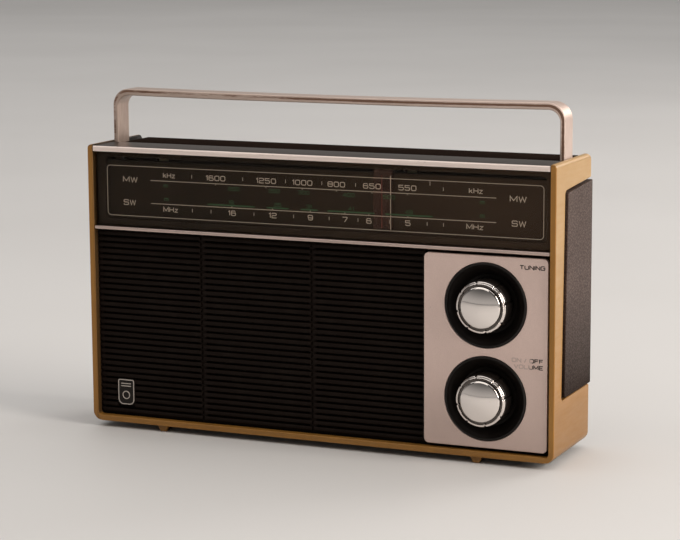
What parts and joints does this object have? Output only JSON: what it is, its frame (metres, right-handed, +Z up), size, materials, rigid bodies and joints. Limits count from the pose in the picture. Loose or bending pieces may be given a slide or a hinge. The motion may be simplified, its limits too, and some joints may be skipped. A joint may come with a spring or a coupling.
{
  "type": "portable transistor radio",
  "caption": "Portable two-band transistor radio with a slide-rule dial, cord-driven pointer, capped knobs, ribbed grille and a strip handle that folds back.",
  "frame": {"origin": "on the resting surface, under the middle of the bounding box, with the handle upright", "axes": "+X to the right seen from the dial side, +Y from the dial towards the rear cover, +Z up"},
  "size_m": [0.232, 0.0584, 0.1588],
  "materials": {
    "tan_plastic": "satin moulded",
    "brushed_aluminium": "brushed, clear anodised",
    "panel_paint": "fine silver-grey lacquer",
    "grille_plastic": "satin black",
    "black_plastic": "semi-gloss black",
    "clear_lens": "polished clear acrylic",
    "dial_black": "matt black",
    "tinted_clear": "clear, tinted",
    "white_paint": "white print",
    "cord": "twisted nylon",
    "chrome_cap": "mirror plated",
    "plated_steel": "zinc plated",
    "cover_plastic": "leather-grained dark grey",
    "nylon": "natural nylon",
    "board": "phenolic board",
    "component_sleeve": "shrink sleeve",
    "winding": "enamelled copper wire",
    "ferrite": "sintered ferrite",
    "speaker_paper": "pressed paper pulp",
    "cell_jacket": "printed steel jacket, plain",
    "handle_metal": "satin silver, worn on its front edge"
  },
  "bodies": {
    "chassis": {"badge": "brushed_aluminium", "band_switch": "plated_steel", "battery_1": "cell_jacket", "battery_2": "cell_jacket", "battery_3": "cell_jacket", "battery_4": "cell_jacket", "battery_box": "black_plastic", "battery_contact": "plated_steel", "battery_spring": "plated_steel", "cabinet": "tan_plastic", "circuit_board": "board", "cover_screw_1": "plated_steel", "cover_screw_2": "plated_steel", "cover_screw_3": "plated_steel", "cover_screw_4": "plated_steel", "dial_cord": "cord", "dial_plate": "dial_black", "dial_window": "clear_lens", "divider_strip": "brushed_aluminium", "earphone_socket": "black_plastic", "electrolytic": "component_sleeve", "ferrite_coil": "winding", "ferrite_rod": "ferrite", "front_frame": "grille_plastic", "grille": "grille_plastic", "handle_pin_left": "plated_steel", "handle_pin_right": "plated_steel", "if_can_1": "plated_steel", "if_can_2": "plated_steel", "if_can_3": "plated_steel", "knob_panel": "panel_paint", "output_transformer": "winding", "pointer_rail": "plated_steel", "rear_cover": "cover_plastic", "rod_holder_left": "nylon", "rod_holder_right": "nylon", "speaker_cone": "speaker_paper", "speaker_frame": "plated_steel", "speaker_magnet": "ferrite", "top_plate": "brushed_aluminium", "tuning_capacitor": "nylon", "tuning_well": "black_plastic", "volume_control": "plated_steel", "volume_well": "black_plastic"},
    "tuning": {"tuning_shaft": "plated_steel", "tuning_knob": "black_plastic", "tuning_knob_cap": "chrome_cap", "cord_drum": "nylon"},
    "pointer": {"pointer_carriage": "black_plastic", "pointer_band": "tinted_clear", "pointer_line": "white_paint"},
    "pulley_right": {"cord_pulley_right": "nylon"},
    "pulley_left": {"cord_pulley_left": "nylon"},
    "pulley_middle": {"cord_pulley_middle": "nylon"},
    "volume": {"volume_shaft": "plated_steel", "volume_knob": "black_plastic", "volume_knob_cap": "chrome_cap"},
    "handle": {"handle": "handle_metal"},
    "battery_door": {"battery_door": "cover_plastic"},
    "band_slider": {"band_switch_slider": "black_plastic"}
  },
  "joints": [
    {"name": "tuning_turn", "type": "hinge", "parent": "chassis", "child": "tuning", "pos_m": [0.0825, -0.022, 0.0712], "axis": [0, 1, 0], "range_deg": [-430, 100]},
    {"name": "pointer_slide", "type": "slide", "parent": "chassis", "child": "pointer", "axis": [1, 0, 0], "range_m": [-0.1008, 0.0236]},
    {"name": "pulley_right_turn", "type": "hinge", "parent": "chassis", "child": "pulley_right", "pos_m": [0.098, -0.0085, 0.111], "axis": [0, 1, 0], "range_deg": [-1155, 270]},
    {"name": "pulley_left_turn", "type": "hinge", "parent": "chassis", "child": "pulley_left", "pos_m": [-0.098, -0.0085, 0.111], "axis": [0, 1, 0], "range_deg": [-1155, 270]},
    {"name": "pulley_middle_turn", "type": "hinge", "parent": "chassis", "child": "pulley_middle", "pos_m": [0.062, -0.0085, 0.101], "axis": [0, 1, 0], "range_deg": [-270, 1155]},
    {"name": "volume_turn", "type": "hinge", "parent": "chassis", "child": "volume", "pos_m": [0.0825, -0.022, 0.0294], "axis": [0, 1, 0], "range_deg": [0, 300]},
    {"name": "handle_fold", "type": "hinge", "parent": "chassis", "child": "handle", "pos_m": [0, 0.0038, 0.126], "axis": [-1, 0, 0], "range_deg": [0, 90]},
    {"name": "battery_door_lift", "type": "slide", "parent": "chassis", "child": "battery_door", "axis": [0, 1, 0], "range_m": [0, 0.06]},
    {"name": "band_switch_slide", "type": "slide", "parent": "chassis", "child": "band_slider", "axis": [1, 0, 0], "range_m": [0, 0.006]}
  ],
  "couplings": [
    {"joint": "pointer_slide", "follows": "tuning_turn", "m_per_rad": 0.0134},
    {"joint": "pulley_right_turn", "follows": "tuning_turn", "ratio": 2.68},
    {"joint": "pulley_left_turn", "follows": "tuning_turn", "ratio": 2.68},
    {"joint": "pulley_middle_turn", "follows": "tuning_turn", "ratio": -2.68}
  ]
}
